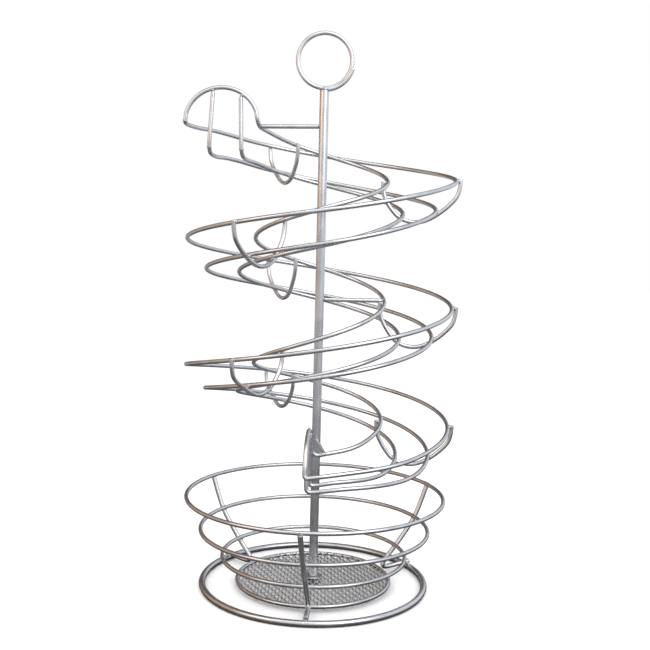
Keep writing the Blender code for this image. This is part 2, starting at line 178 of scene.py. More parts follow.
# Softboxes: name, place, width and height, watts, colour
SOFTBOXES = (
    ("key", (0.55, -0.75, 0.85), (0.8, 1.0), 5.0, WHITE),
    ("fill", (-0.8, -0.5, 0.75), (0.6, 0.9), 2.0, (1.0, 0.97, 0.94)),
    ("top", (0.0, -0.35, 1.2), (0.9, 0.6), 2.0, WHITE),
)
CAMERA_PLACE = Vector((0.0, -700.34, 259.8)) * MM
CAMERA_YAW = math.radians(0.36)
CAMERA_PITCH = math.radians(-5.5)
CAMERA_ROLL = math.radians(1.4)
CAMERA_LENS = 53.9
SENSOR = 36.0


# ---------------------------------------------------------------- reading the frame

class Wire:
    """A round wire: the points of its middle line, its radius, and a closed ring's axis."""

    def __init__(self, name, points, radius, axis=None):
        self.name = name
        self.points = np.array(points, float)
        self.radius = radius
        self.axis = axis           # of a closed ring; None for a wire with two ends
        self.body = body_of(name)


def body_of(node):
    bodies = frame["record"]["behaviour"]["bodies"]
    return next(body for body, nodes in bodies.items() if node in nodes)


def cad_corners(node):
    return [vertex.co for vertex in frame["nodes"][node].data.vertices]


def from_axis(corner):
    """Distance from the post's axis."""
    return math.hypot(corner.x, corner.y)


def open_wire(node):
    """A wire with two ends: its CAD rings of corners, walked from the higher end, give its line."""
    shape = bmesh.new()
    shape.from_mesh(frame["nodes"][node].data)
    bmesh.ops.remove_doubles(shape, verts=shape.verts, dist=MERGE)
    bmesh.ops.dissolve_limit(shape, angle_limit=FLAT, verts=shape.verts, edges=shape.edges)
    shape.verts.index_update()
    many_sided = [face for face in shape.faces if len(face.verts) > 4]
    ends = sorted(many_sided, key=lambda face: face.calc_perimeter())[:2]
    ring = set(max(ends, key=lambda end: end.calc_center_median().z).verts)
    seen = set(ring)
    knots = []
    while ring:
        corners = sorted(ring, key=lambda corner: corner.index)
        middle = sum((corner.co for corner in corners), Vector()) / len(corners)
        radius = max((corner.co - middle).length for corner in corners)
        knots.append(middle)
        ring = {edge.other_vert(corner) for corner in corners for edge in corner.link_edges} - seen
        seen |= ring
    shape.free()
    return Wire(node, even_path(knots), radius)


def closed_ring(node, axis, rests=False):
    """A CAD ring as a round one; one that rests on the table stands on its round underside."""
    low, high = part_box(node)
    middle = (low + high) / 2
    offsets = [corner - middle for corner in cad_corners(node)]
    along = [offset.dot(axis) for offset in offsets]
    across = [(offset - axis * rise).length for offset, rise in zip(offsets, along)]
    radius = sum(across) / len(across)
    wire = max(math.hypot(rise, reach - radius) for rise, reach in zip(along, across))
    if rests:
        middle.z = wire
    return Wire(node, circle(middle, radius, axis), wire, axis)


# ---------------------------------------------------------------- paths

def on_circle(middle, radius, axis, degrees):
    """Point at an angle from +X, counted anticlockwise seen from the axis's tip."""
    angle = math.radians(degrees)
    first = Vector((1.0, 0.0, 0.0))
    return middle + radius * (first * math.cos(angle) + axis.cross(first) * math.sin(angle))


def circle(middle, radius, axis):
    count = round(math.tau * radius / STEP)
    return [on_circle(middle, radius, axis, 360.0 * index / count) for index in range(count)]


def arc(middle, radius, axis, start, end):
    count = round(math.radians(abs(end - start)) * radius / STEP)
    angles = [start + (end - start) * index / count for index in range(count + 1)]
    return [on_circle(middle, radius, axis, angle) for angle in angles]


def spline_point(knots, times, moment):
    """Centripetal Catmull-Rom curve by repeated blending of neighbouring points."""
    row = list(knots)
    for spans in (((0, 1), (1, 2), (2, 3)), ((0, 2), (1, 3)), ((1, 2),)):
        shares = [(moment - times[start]) / (times[end] - times[start]) for start, end in spans]
        row = [near + (far - near) * share for near, far, share in zip(row, row[1:], shares)]
    return row[0]


def even_path(knots):
    """A smooth curve through the knots, cut into even steps that are shorter in the bends."""
    if len(knots) == 2:
        dense = list(knots)
    else:
        dense = []
        ends = [2 * knots[0] - knots[1]] + knots + [2 * knots[-1] - knots[-2]]
        for quad in zip(ends, ends[1:], ends[2:], ends[3:]):
            times = [0.0]
            for start, end in zip(quad, quad[1:]):
                times.append(times[-1] + math.sqrt((end - start).length))
            count = SPLINE_PARTS + math.ceil((quad[2] - quad[1]).length / STEP)
            for index in range(count):
                moment = times[1] + (times[2] - times[1]) * index / count
                dense.append(spline_point(quad, times, moment))
        dense.append(knots[-1])
    table = np.array(dense)
    slopes = tangents_of(table, closed=False)
    turns = np.arccos(np.clip((slopes[1:] * slopes[:-1]).sum(axis=1), -1.0, 1.0))
    effort = distances_along(table) / STEP + np.concatenate([[0.0], np.cumsum(turns)]) / TURN_STEP
    places = np.linspace(0.0, effort[-1], max(2, round(effort[-1])) + 1)
    return np.stack([np.interp(places, effort, table[:, axis]) for axis in range(3)], axis=1)


def distances_along(points):
    steps = np.linalg.norm(np.diff(points, axis=0), axis=1)
    return np.concatenate([[0.0], np.cumsum(steps)])


def tangents_of(points, closed):
    if closed:
        slopes = np.roll(points, -1, axis=0) - np.roll(points, 1, axis=0)
    else:
        slopes = np.gradient(points, axis=0)
    return slopes / np.linalg.norm(slopes, axis=1)[:, None]


def corners_of(wire):
    """The sharpest bend in each half of a wire."""
    slopes = tangents_of(wire.points, closed=False)
    turns = np.arccos(np.clip((slopes[2:] * slopes[:-2]).sum(axis=1), -1.0, 1.0))
    sharpness = turns / np.linalg.norm(wire.points[2:] - wire.points[:-2], axis=1)
    half = len(sharpness) // 2
    places = int(sharpness[:half].argmax()), half + int(sharpness[half:].argmax())
    return [wire.points[place + 1] for place in places]


def upright_foot(wire):
    """Where a rail's upturned top end starts to bend."""
    slopes = tangents_of(wire.points, closed=False)
    return wire.points[int((abs(slopes[:, 2]) < UPRIGHT_SLOPE).argmax())]


# ---------------------------------------------------------------- welds

class Weld:
    """A joint of two wires: its middle, the two wires' directions, and the line between them."""

    def __init__(self, first, second, near, far, directions):
        gap = Vector(far - near)
        share = first.radius / (first.radius + second.radius)
        self.middle = Vector(near) + gap * share
        self.radii = (first.radius, second.radius)
        self.directions = [Vector(direction) for direction in directions]
        self.line = gap.normalized()
        self.in_line = gap.length < min(self.radii)


def welds_between(first, second):
    """One weld for each stretch where the two wires come close enough."""
    gaps = np.linalg.norm(first.points[:, None] - second.points[None], axis=2)
    close = gaps.min(axis=1) < first.radius + second.radius + WELD_GAP
    first_slopes = tangents_of(first.points, first.axis is not None)
    second_slopes = tangents_of(second.points, second.axis is not None)
    welds = []
    stretch = []
    for index, near in enumerate([*close, False]):
        if near:
            stretch.append(index)
        elif stretch:
            here = min(stretch, key=lambda place: gaps[place].min())
            there = int(gaps[here].argmin())
            directions = first_slopes[here], second_slopes[there]
            welds.append(Weld(first, second, first.points[here], second.points[there], directions))
            stretch = []
    return welds


def lumpy_ball(shape, place, seed):
    """Adds an uneven ball of weld metal, squashed and placed by a matrix."""
    made = bmesh.ops.create_icosphere(shape, subdivisions=BEAD_DETAIL, radius=1.0)
    for corner in made["verts"]:
        swell = noise.noise(corner.co * LUMP_SCALE + Vector([seed * shift for shift in LUMP_SHIFT]))
        corner.co = place @ (corner.co * (1.0 + BEAD_LUMPS * swell))


def bead_matrix(middle, first, second, sizes):
    """Ellipsoid whose first two axes follow two directions."""
    across = (second - first * second.dot(first)).normalized()
    turn = Matrix((first, across, first.cross(across))).transposed().to_4x4()
    return Matrix.Translation(middle) @ turn @ Matrix.Diagonal((*sizes, 1.0))


def add_weld(shape, weld, seed):
    """Adds a weld's bead: round the end of a wire that has one there, or else across both wires."""
    ends_on = [index for index in (0, 1) if abs(weld.directions[index].dot(weld.line)) > END_ON]
    if weld.in_line:
        along = weld.directions[0]
        across = along.orthogonal()
        width = weld.radii[0] * IN_LINE_BEAD
        sizes = (IN_LINE_LENGTH, width, width)
    elif ends_on:
        along = weld.directions[ends_on[0]]
        across = along.orthogonal()
        width = weld.radii[ends_on[0]] * END_BEAD
        sizes = (END_BEAD_LENGTH, width, width)
    else:
        along, across = weld.directions
        sizes = CROSS_BEAD
    lumpy_ball(shape, bead_matrix(weld.middle, along, across, sizes), seed)


# ---------------------------------------------------------------- meshes

def new_piece(name, shape, body, node, *materials):
    """A mesh object from a bmesh, which it frees, that rides on a body. The node is not used."""
    mesh = bpy.data.meshes.new(name)
    shape.to_mesh(mesh)
    shape.free()
    return finish_piece(name, mesh, body, node, *materials)


def finish_piece(name, mesh, body, node, *materials):
    mesh.shade_smooth()
    for material in materials:
        mesh.materials.append(material)
    piece = bpy.data.objects.new(name, mesh)
    bpy.context.scene.collection.objects.link(piece)
    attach(piece, body)
    return piece


def heat_at(points, spots):
    """1 at a weld, falling to 0 at HEAT_REACH from it."""
    if not spots:
        return np.zeros(len(points))
    nearest = np.linalg.norm(points[:, None] - np.array(spots)[None], axis=2).min(axis=1)
    return np.clip(1.0 - nearest / HEAT_REACH, 0.0, 1.0) ** 2


def with_rounded_ends(points):
    """Extra stations at both ends of a path, and how much thinner the wire is at each station."""
    turns = [math.pi / 2 * step / END_STEPS for step in range(END_STEPS + 1)]
    insets = np.array([END_BEVEL * (1 - math.sin(turn)) for turn in reversed(turns)])
    thins = np.array([END_BEVEL * (1 - math.cos(turn)) for turn in reversed(turns)])
    ahead = (points[1] - points[0]) / np.linalg.norm(points[1] - points[0])
    back = (points[-2] - points[-1]) / np.linalg.norm(points[-2] - points[-1])
    head = points[0] + insets[:, None] * ahead
    tail = points[-1] + insets[::-1, None] * back
    path = np.concatenate([head, points[1:-1], tail])
    thinner = np.concatenate([thins, np.zeros(len(points) - 2), thins[::-1]])
    return path, thinner


def with_seam(points, radius, azimuth):
    """Extra stations for the narrow groove where a ring's wire ends meet."""
    seam = Vector(on_circle(Vector((0.0, 0.0, points[0][2])), radius, UP, azimuth))
    offsets = np.linspace(-1.0, 1.0, SEAM_STATIONS) * SEAM_SPAN
    angles = math.radians(azimuth) + offsets / radius
    heights = np.full(SEAM_STATIONS, seam.z)
    stations = np.stack([radius * np.cos(angles), radius * np.sin(angles), heights], axis=1)
    far = points[np.linalg.norm(points - np.array(seam), axis=1) > SEAM_CLEAR]
    path = np.concatenate([far, stations])
    path = path[np.argsort(np.arctan2(path[:, 1], path[:, 0]))]
    away = np.linalg.norm(path - np.array(seam), axis=1)
    return path, SEAM_DEPTH * np.exp(-(away / (SEAM_WIDTH / 2)) ** 2)


def ring_middle_and_radius(wire):
    middle = wire.points.mean(axis=0)
    return Vector(middle), float(np.linalg.norm(wire.points[0] - middle))


def sections(path, closed, axis):
    """Two directions across the path at each station, turning as little as they can."""
    slopes = tangents_of(path, closed)
    if closed:
        side = np.tile(np.array(axis), (len(path), 1))
    else:
        side = np.zeros_like(path)
        side[0] = np.array(Vector(slopes[0]).orthogonal())
        for index in range(1, len(path)):
            carried = side[index - 1] - slopes[index] * side[index - 1].dot(slopes[index])
            side[index] = carried / np.linalg.norm(carried)
        side[0] /= np.linalg.norm(side[0])
    return side, np.cross(slopes, side)


def tube(name, wire, spots, seam=None):
    """Mesh of a round wire, with a map that runs round and along it, and its welds' heat."""
    closed = wire.axis is not None
    if seam is not None:
        path, thinner = with_seam(wire.points, ring_middle_and_radius(wire)[1], seam)
    elif closed:
        path, thinner = wire.points, np.zeros(len(wire.points))
    else:
        path, thinner = with_rounded_ends(wire.points)
    side, across = sections(path, closed, wire.axis)
    turns = np.arange(SIDES) * math.tau / SIDES
    ring = np.cos(turns)[None, :, None] * side[:, None] + np.sin(turns)[None, :, None] * across[:, None]
    corners = (path[:, None] + ring * (wire.radius - thinner)[:, None, None]).reshape(-1, 3)
    stations = len(path)
    spans = stations if closed else stations - 1
    rows = np.arange(spans)[:, None] * SIDES
    next_rows = (np.arange(1, spans + 1) % stations)[:, None] * SIDES
    column = np.arange(SIDES)[None]
    next_column = (column + 1) % SIDES
    corner_rows = (rows + column, rows + next_column, next_rows + next_column, next_rows + column)
    faces = [tuple(quad) for quad in np.stack(corner_rows, axis=2).reshape(-1, 4).tolist()]
    if not closed:
        faces.append(tuple(range(SIDES - 1, -1, -1)))
        faces.append(tuple(range((stations - 1) * SIDES, stations * SIDES)))
    mesh = bpy.data.meshes.new(name)
    mesh.from_pydata(corners.tolist(), [], faces)
    if not closed:
        for cap in (len(faces) - 2, len(faces) - 1):
            mesh.polygons[cap].material_index = 1
    map_tube(mesh, path, wire.radius, spans, closed)
    heat = mesh.attributes.new("heat", "FLOAT", "POINT")
    heat.data.foreach_set("value", np.repeat(heat_at(path, spots), SIDES).astype(np.float32))
    mesh.validate()
    mesh.update()
    return mesh


def map_tube(mesh, path, radius, spans, closed):
    """UVs in metres: U round the wire and V along it. The end caps stay at 0."""
    whole = np.concatenate([path, path[:1]]) if closed else path
    lengths = distances_along(whole)
    width = math.tau * radius / SIDES
    column = np.arange(SIDES)
    u = np.stack([column, column + 1, column + 1, column], axis=1) * width
    low = lengths[:spans, None, None]
    high = lengths[1:spans + 1, None, None]
    v = np.concatenate([low, low, high, high], axis=2)
    v = np.broadcast_to(v, (spans, SIDES, 4))
    u = np.broadcast_to(u[None], (spans, SIDES, 4))
    values = np.zeros((len(mesh.loops), 2), np.float32)
    values[:spans * SIDES * 4] = np.stack([u, v], axis=3).reshape(-1, 2)
    layer = mesh.uv_layers.new(name="wire")
    layer.data.foreach_set("uv", values.ravel())


def show_wire(wire, spots, metals, seam=None):
    """Makes the piece that stands for a CAD wire."""
    name = wire.name + "_wire"
    mesh = tube(name, wire, spots, seam)
    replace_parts(finish_piece(name, mesh, wire.body, wire.name, *metals), wire.name)


def turned(profile, facets, hole):
    """Closed solid from (radius, height) corners, outer side first from the top, turned about Z.

    With a hole, the last corner joins the first; without one, flat faces close both ends.
    """
    shape = bmesh.new()
    rings = []
    for radius, height in profile:
        ring = []
        for facet in range(facets):
            angle = math.tau * facet / facets
            ring.append(shape.verts.new((radius * math.cos(angle), radius * math.sin(angle), height)))
        rings.append(ring)
    below = rings[1:] + rings[:1] if hole else rings[1:]
    for upper, lower in zip(rings, below):
        for facet in range(facets):
            after = (facet + 1) % facets
            shape.faces.new((upper[facet], lower[facet], lower[after], upper[after]))
    if not hole:
        shape.faces.new(rings[0])
        shape.faces.new(rings[-1][::-1])
    return shape


def rounded(radius, height, edge, quadrant):
    """Corner of a turned profile; the quadrant counts the arc's start in quarter turns from +R."""
    out = 1 if quadrant in (0, 3) else -1
    up = 1 if quadrant in (0, 1) else -1
    points = []
    for step in range(EDGE_STEPS + 1):
        turn = math.pi / 2 * step / EDGE_STEPS
        swings = [math.cos(turn), math.sin(turn)]
        if quadrant in (0, 2):
            swings.reverse()
        points.append((radius + out * edge * (swings[0] - 1), height + up * edge * (swings[1] - 1)))
    return points


# ---------------------------------------------------------------- pieces

def cut_mesh(mesh, cutter):
    """The mesh with the cutter's shape, which it frees, taken out of it."""
    cutter_mesh = bpy.data.meshes.new("cutter")
    cutter.to_mesh(cutter_mesh)
    cutter.free()
    blank = bpy.data.objects.new("blank", mesh)
    tool = bpy.data.objects.new("cutter", cutter_mesh)
    for thing in (blank, tool):
        bpy.context.scene.collection.objects.link(thing)
    boolean = blank.modifiers.new("cut", "BOOLEAN")
    boolean.operation = "DIFFERENCE"
    boolean.solver = "EXACT"
    boolean.object = tool
    left = bpy.data.meshes.new_from_object(blank.evaluated_get(bpy.context.evaluated_depsgraph_get()))
    for thing in (blank, tool):
        bpy.data.objects.remove(thing)
    return left


def washer(node, metals):
    low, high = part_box(node)
    hole = min(from_axis(corner) for corner in cad_corners(node))
    outer = rounded(high.x, high.z, WASHER_EDGE, 0) + rounded(high.x, low.z, WASHER_EDGE, 3)
    shape = turned(outer + [(hole, low.z), (hole, high.z)], TURN_FACETS, hole=True)
    piece = new_piece(node + "_plate", shape, body_of(node), node, *metals)
    piece.data.set_sharp_from_angle(angle=TURNED_SHARP)
    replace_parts(piece, node)


def screw_head_and_shank():
    """Height of the CAD screw's head's upper face, and its shank's radius."""
    head_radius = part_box("fixing_screw")[1].x
    corners = cad_corners("fixing_screw")
    head_top = max(corner.z for corner in corners if from_axis(corner) > HEAD_RIM * head_radius)
    shank = max(from_axis(corner) for corner in corners if corner.z > head_top + CLEAR_OF_HEAD)
    return head_top, shank


def screw(metals):
    """The slotted screw, head down, with rounded edges."""
    node = "fixing_screw"
    low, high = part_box(node)
    head_top, shank = screw_head_and_shank()
    corners = cad_corners(node)
    slot_top = max(corner.z for corner in corners if corner.z < head_top - MERGE)
    slot_half = max(abs(corner.y) for corner in corners if abs(corner.z - slot_top) < MERGE)
    tip = [(shank - SCREW_EDGE, high.z), (shank, high.z - SCREW_EDGE)]
    head = [(shank, head_top), (high.x, head_top)] + rounded(high.x, low.z, SCREW_EDGE, 3)
    shape = turned(tip + head, TURN_FACETS, hole=False)
    mesh = bpy.data.meshes.new(node)
    shape.to_mesh(mesh)
    shape.free()
    bar = bmesh.new()
    size = Matrix.Diagonal((4 * high.x, 2 * slot_half, 2 * (slot_top - low.z), 1.0))
    bmesh.ops.create_cube(bar, matrix=Matrix.Translation((0.0, 0.0, low.z)) @ size)
    piece = finish_piece(node + "_turned", cut_mesh(mesh, bar), body_of(node), node, *metals)
    piece.data.set_sharp_from_angle(angle=TURNED_SHARP)
    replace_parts(piece, node)


def bored_post(wire, spots, metals):
    """The post, with a bore in its lower end for the screw."""
    low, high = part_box("fixing_screw")
    radius = screw_head_and_shank()[1] + BORE_ROOM
    bore = turned([(radius, high.z + BORE_ROOM), (radius, low.z)], TURN_FACETS, hole=False)
    mesh = cut_mesh(tube(wire.name, wire, spots), bore)
    piece = finish_piece(wire.name + "_wire", mesh, wire.body, wire.name, *metals)
    piece.data.set_sharp_from_angle(angle=TURNED_SHARP)
    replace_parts(piece, wire.name)


def post_wire():
    """The post as a straight wire of its own, from its CAD box."""
    low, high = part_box("centre_post")
    knots = [Vector((0.0, 0.0, high.z)), Vector((0.0, 0.0, low.z))]
    return Wire("centre_post", even_path(knots), high.x)


def strand_path(row, reach, hole):
    """Runs of one zigzag strand that lie inside the rim and outside the screw's hole, front to back."""
    half = DIAMOND_LENGTH / 2
    rise = DIAMOND_WIDTH / 2
    swing = rise / 2 - STRAND_WIDTH * math.cos(STRAND_TILT) / 2
    middle = (row + 0.5) * rise
    flat = BOND_SHARE / 2 * half
    side = 1 if row % 2 else -1
    bends = []
    count = math.ceil(reach / half)
    for index in range(-count, count + 1):
        x = middle + side * swing * (1 if index % 2 else -1)
        bends += [(x, index * half - flat), (x, index * half + flat)]
    table = np.array(bends)
    lengths = distances_along(table)
    places = np.linspace(0.0, lengths[-1], round(lengths[-1] / STRAND_STEP))
    x = np.interp(places, lengths, table[:, 0])
    y = np.interp(places, lengths, table[:, 1])
    distance = np.hypot(x, y)
    inside = (distance < reach) & (distance > hole)
    runs = [[]]
    for place, kept in zip(zip(x, y), inside):
        if kept:
            runs[-1].append(place)
        else:
            runs.append([])
    return [run for run in runs if len(run) >= SHORTEST_RUN]


def strand_section():
    """Eight corners of a sheared strand's section, tilted about its length: (sideways, up)."""
    side, top = STRAND_WIDTH / 2, STRAND_THICKNESS / 2
    in_side, in_top = side - SHEAR_EDGE, top - SHEAR_EDGE
    upper = [(side, in_top), (in_side, top), (-in_side, top), (-side, in_top)]
    lower = [(-side, -in_top), (-in_side, -top), (in_side, -top), (side, -in_top)]
    cosine, sine = math.cos(STRAND_TILT), math.sin(STRAND_TILT)
    return [(out * cosine - up * sine, out * sine + up * cosine) for out, up in upper + lower]


def add_strand(shape, run, section, level):
    """Adds a solid strand along a run of points."""
    rings = []
    for x, y in run:
        rings.append([shape.verts.new((x + out, y, level + up)) for out, up in section])
    for near, far in zip(rings, rings[1:]):
        for corner in range(len(section)):
            after = (corner + 1) % len(section)
            shape.faces.new((near[corner], far[corner], far[after], near[after]))
    shape.faces.new(rings[0])
    shape.faces.new(rings[-1][::-1])


def mesh_floor(rim, metals):
    """Expanded metal: staggered zigzag strands, tilted as the press leaves them."""
    low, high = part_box("mesh_floor")
    level = (low.z + high.z) / 2
    reach = float(np.hypot(*rim.points[0][:2])) - rim.radius * RIM_OVERLAP
    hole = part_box("fixing_screw")[1].x * FLOOR_HOLE
    section = strand_section()
    shape = bmesh.new()
    rows = math.ceil(reach / (DIAMOND_WIDTH / 2))
    for row in range(-rows, rows):
        for run in strand_path(row, reach, hole):
            add_strand(shape, run, section, level)
    bmesh.ops.recalc_face_normals(shape, faces=shape.faces)
    piece = new_piece("mesh_floor_strands", shape, body_of("mesh_floor"), "mesh_floor", *metals)
    piece.data.set_sharp_from_angle(angle=STRAND_SHARP)
    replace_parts(piece, "mesh_floor")


def handle_lap(ring, metals):
    """The free end of the handle ring's wire, laid against the ring's lower right side."""
    middle, radius = ring_middle_and_radius(ring)
    path = arc(middle + FRONT * LAP_FORWARD, radius + LAP_OUT, FRONT, LAP_START, LAP_END)
    lap = Wire("handle_ring", path, ring.radius)
    mesh = tube("handle_ring_lap", lap, [middle - UP * radius])
    finish_piece("handle_ring_lap", mesh, ring.body, "handle_ring", *metals)


def extra_beads(wires):
    """Beads that no pair of wires calls for: under the handle ring, and on the rails' joints."""
    ring = named(wires, "handle_ring")
    middle, radius = ring_middle_and_radius(ring)
    foot = middle - UP * (radius + ring.radius)
    joints = corners_of(named(wires, "rail_outer_upper"))
    joints += [upright_foot(named(wires, rail)) for rail in ("rail_outer_lower", "rail_inner_lower")]
    sizes = (CORNER_BEAD * ring.radius,) * 3
    beads = [Matrix.Translation(foot) @ Matrix.Diagonal((*POST_CAP, 1.0))]
    beads += [Matrix.Translation(joint) @ Matrix.Diagonal((*sizes, 1.0)) for joint in joints]
    return beads


def weld_piece(body, welds, extra, metals):
    """All of a body's beads as one piece."""
    shape = bmesh.new()
    for seed, weld in enumerate(welds):
        add_weld(shape, weld, seed)
    for seed, place in enumerate(extra):
        lumpy_ball(shape, place, len(welds) + seed)
    node = frame["record"]["behaviour"]["bodies"][body][0]
    new_piece("welds_" + body, shape, body, node, *metals)


# ---------------------------------------------------------------- materials

# Places of a mix node's colour sockets, which share their names with its number sockets
MIX_INPUTS = (6, 7)
MIX_OUTPUT = 2


class Nodes:
    """Short calls for one material's or world's node tree."""

    def __init__(self, tree):
        self.tree = tree

    def add(self, kind, **settings):
        node = self.tree.nodes.new(kind)
        for name, value in settings.items():
            setattr(node, name, value)
        return node

    def link(self, source, target):
        self.tree.links.new(source, target)

    def place(self):
        """Place on the object, in metres."""
        return self.add("ShaderNodeTexCoord").outputs["Object"]

    def noise(self, vector, scale, detail=2.0):
        node = self.add("ShaderNodeTexNoise")
        node.inputs["Scale"].default_value = scale
        node.inputs["Detail"].default_value = detail
        self.link(vector, node.inputs["Vector"])
        return node.outputs["Fac"]

    def spread(self, value, low, high, to_low=0.0, to_high=1.0):
        """Maps a value from one range to another, and holds it there."""
        node = self.add("ShaderNodeMapRange")
        node.inputs["From Min"].default_value = low
        node.inputs["From Max"].default_value = high
        node.inputs["To Min"].default_value = to_low
        node.inputs["To Max"].default_value = to_high
        self.link(value, node.inputs["Value"])
        return node.outputs["Result"]

    def math(self, operation, first, second):
        node = self.add("ShaderNodeMath", operation=operation)
        for socket, value in zip(node.inputs, (first, second)):
            if isinstance(value, (int, float)):
                socket.default_value = value
            else:
                self.link(value, socket)
        return node.outputs["Value"]

    def mix(self, factor, first, second):
        """Colour between two colours."""
        node = self.add("ShaderNodeMix", data_type="RGBA")
        self.link(factor, node.inputs["Factor"])
        for index, value in zip(MIX_INPUTS, (first, second)):
            if isinstance(value, tuple):
                node.inputs[index].default_value = (*value, 1.0)
            else:
                self.link(value, node.inputs[index])
        return node.outputs[MIX_OUTPUT]

    def stretched(self, vector, scale):
        node = self.add("ShaderNodeVectorMath", operation="MULTIPLY")
        self.link(vector, node.inputs[0])
        node.inputs[1].default_value = scale
        return node.outputs["Vector"]

    def bump(self, height, strength, distance, normal=None):
        node = self.add("ShaderNodeBump")
        node.inputs["Strength"].default_value = strength
        node.inputs["Distance"].default_value = distance
        self.link(height, node.inputs["Height"])
        if normal is not None:
            self.link(normal, node.inputs["Normal"])
        return node.outputs["Normal"]


def new_material(name):
    material = bpy.data.materials.new(name)
    material.use_nodes = True
    return material, Nodes(material.node_tree), material.node_tree.nodes["Principled BSDF"]


def join_metal(nodes, shader, colour, rough, normal):
    nodes.link(colour, shader.inputs["Base Color"])
    shader.inputs["Metallic"].default_value = 1.0
    nodes.link(rough, shader.inputs["Roughness"])
    nodes.link(normal, shader.inputs["Normal"])


def tinted(colour, share):
    return tuple(channel * share for channel in colour)


def plated(name, colour, roughness, drawn=True, cloud=0.05):
    """Satin plating: cloudy colour and gloss, fine orange peel, pits, drawn lines, dull welds."""
    material, nodes, shader = new_material(name)
    place = nodes.place()
    heat = nodes.add("ShaderNodeAttribute", attribute_name="heat").outputs["Fac"]
    clouds = nodes.noise(place, scale=90.0, detail=4.0)
    grain = nodes.noise(place, scale=2600.0)
    pits = nodes.spread(nodes.noise(place, scale=1100.0, detail=1.0), *PIT_EDGES)
    light = tuple(min(1.0, channel + cloud) for channel in colour)
    dark = tuple(channel - cloud for channel in colour)
    body = nodes.mix(nodes.spread(clouds, *COLOUR_EDGES), dark, light)
    singed = nodes.mix(nodes.math("MULTIPLY", heat, HEAT_SHARE), body, tinted(colour, HEAT_TINT))
    pitted = nodes.mix(nodes.math("MULTIPLY", pits, PIT_SHARE), singed, tinted(colour, PIT_TINT))
    rough = nodes.spread(clouds, *GLOSS_EDGES, to_low=roughness - 0.05, to_high=roughness + 0.06)
    for spots, dulling in ((heat, 0.16), (pits, 0.12)):
        rough = nodes.math("ADD", rough, nodes.math("MULTIPLY", spots, dulling))
    peel = nodes.bump(nodes.noise(place, scale=420.0), strength=0.08, distance=0.06 * MM)
    normal = nodes.bump(grain, strength=0.08, distance=0.012 * MM, normal=peel)
    if drawn:
        lines = nodes.add("ShaderNodeUVMap", uv_map="wire").outputs["UV"]
        draw = nodes.noise(nodes.stretched(lines, (9000.0, 60.0, 1.0)), scale=1.0, detail=3.0)
        normal = nodes.bump(draw, strength=0.12, distance=0.012 * MM, normal=normal)
    join_metal(nodes, shader, pitted, rough, normal)
    return material


def weld_metal():
    """Cooled weld metal under the plating: duller, rippled."""
    material, nodes, shader = new_material("weld_metal")
    place = nodes.place()
    clouds = nodes.noise(place, scale=700.0, detail=3.0)
    ripples = nodes.noise(place, scale=1300.0, detail=3.0)
    colour = nodes.mix(nodes.spread(clouds, *COLOUR_EDGES), *WELD_TONES)
    rough = nodes.spread(clouds, *GLOSS_EDGES, to_low=0.26, to_high=0.46)
    join_metal(nodes, shader, colour, rough, nodes.bump(ripples, strength=0.5, distance=0.12 * MM))
    return material


def sheared_metal():
    """A wire's cut end: grey, with the bright streaks of the shear."""
    material, nodes, shader = new_material("sheared_end")
    streaks = nodes.noise(nodes.stretched(nodes.place(), (3000.0, 3000.0, 500.0)), scale=1.0, detail=3.0)
    colour = nodes.mix(nodes.spread(streaks, *COLOUR_EDGES), *SHEARED_TONES)
    rough = nodes.spread(streaks, *GLOSS_EDGES, to_low=0.35, to_high=0.55)
    join_metal(nodes, shader, colour, rough, nodes.bump(streaks, strength=0.5, distance=0.08 * MM))
    return material


def expanded_metal():
    """The floor's strands: faces darkened with painted shade, and edges painted bright as a painted
    highlight that also stands for rubbed wear.
    """
    material, nodes, shader = new_material("expanded_metal")
    place = nodes.place()
    pointiness = nodes.add("ShaderNodeNewGeometry").outputs["Pointiness"]
    clouds = nodes.noise(place, scale=160.0, detail=3.0)
    grain = nodes.noise(place, scale=1800.0)
    # painted shade on the strands' faces
    dull = nodes.mix(nodes.spread(clouds, *COLOUR_EDGES), *STRAND_SHADE_TONES)
    # painted highlight and rubbed wear on the strands' edges
    colour = nodes.mix(nodes.spread(pointiness, *GLINT_AND_RUB_EDGES), dull, GLINT_AND_RUB)
    rough = nodes.spread(clouds, *GLOSS_EDGES, to_low=0.30, to_high=0.44)
    join_metal(nodes, shader, colour, rough, nodes.bump(grain, strength=0.4, distance=0.03 * MM))
    return material


def floor_material():
    """Pale studio paper. Reflections see it darker, with painted shade that is darkest close to the rack.
    """
    material, nodes, shader = new_material("studio_floor")
    place = nodes.place()
    clouds = nodes.noise(place, scale=30.0, detail=4.0)
    paper = nodes.mix(nodes.spread(clouds, *COLOUR_EDGES), *PAPER_TONES)
    distance = nodes.add("ShaderNodeVectorMath", operation="LENGTH")
    nodes.link(place, distance.inputs[0])
    away = nodes.spread(distance.outputs["Value"], *MIRRORED_REACH)
    # painted shade: the floor in reflections, darker near the rack
    mirrored = nodes.mix(away, *MIRRORED_SHADE_TONES)
    is_mirrored = nodes.add("ShaderNodeLightPath").outputs["Is Glossy Ray"]
    nodes.link(nodes.mix(is_mirrored, paper, mirrored), shader.inputs["Base Color"])
    shader.inputs["Roughness"].default_value = 0.9
    shader.inputs["Specular IOR Level"].default_value = 0.0
    fibres = nodes.noise(place, scale=900.0)
    nodes.link(nodes.bump(fibres, strength=0.1, distance=0.05 * MM), shader.inputs["Normal"])
    return material


# ---------------------------------------------------------------- studio

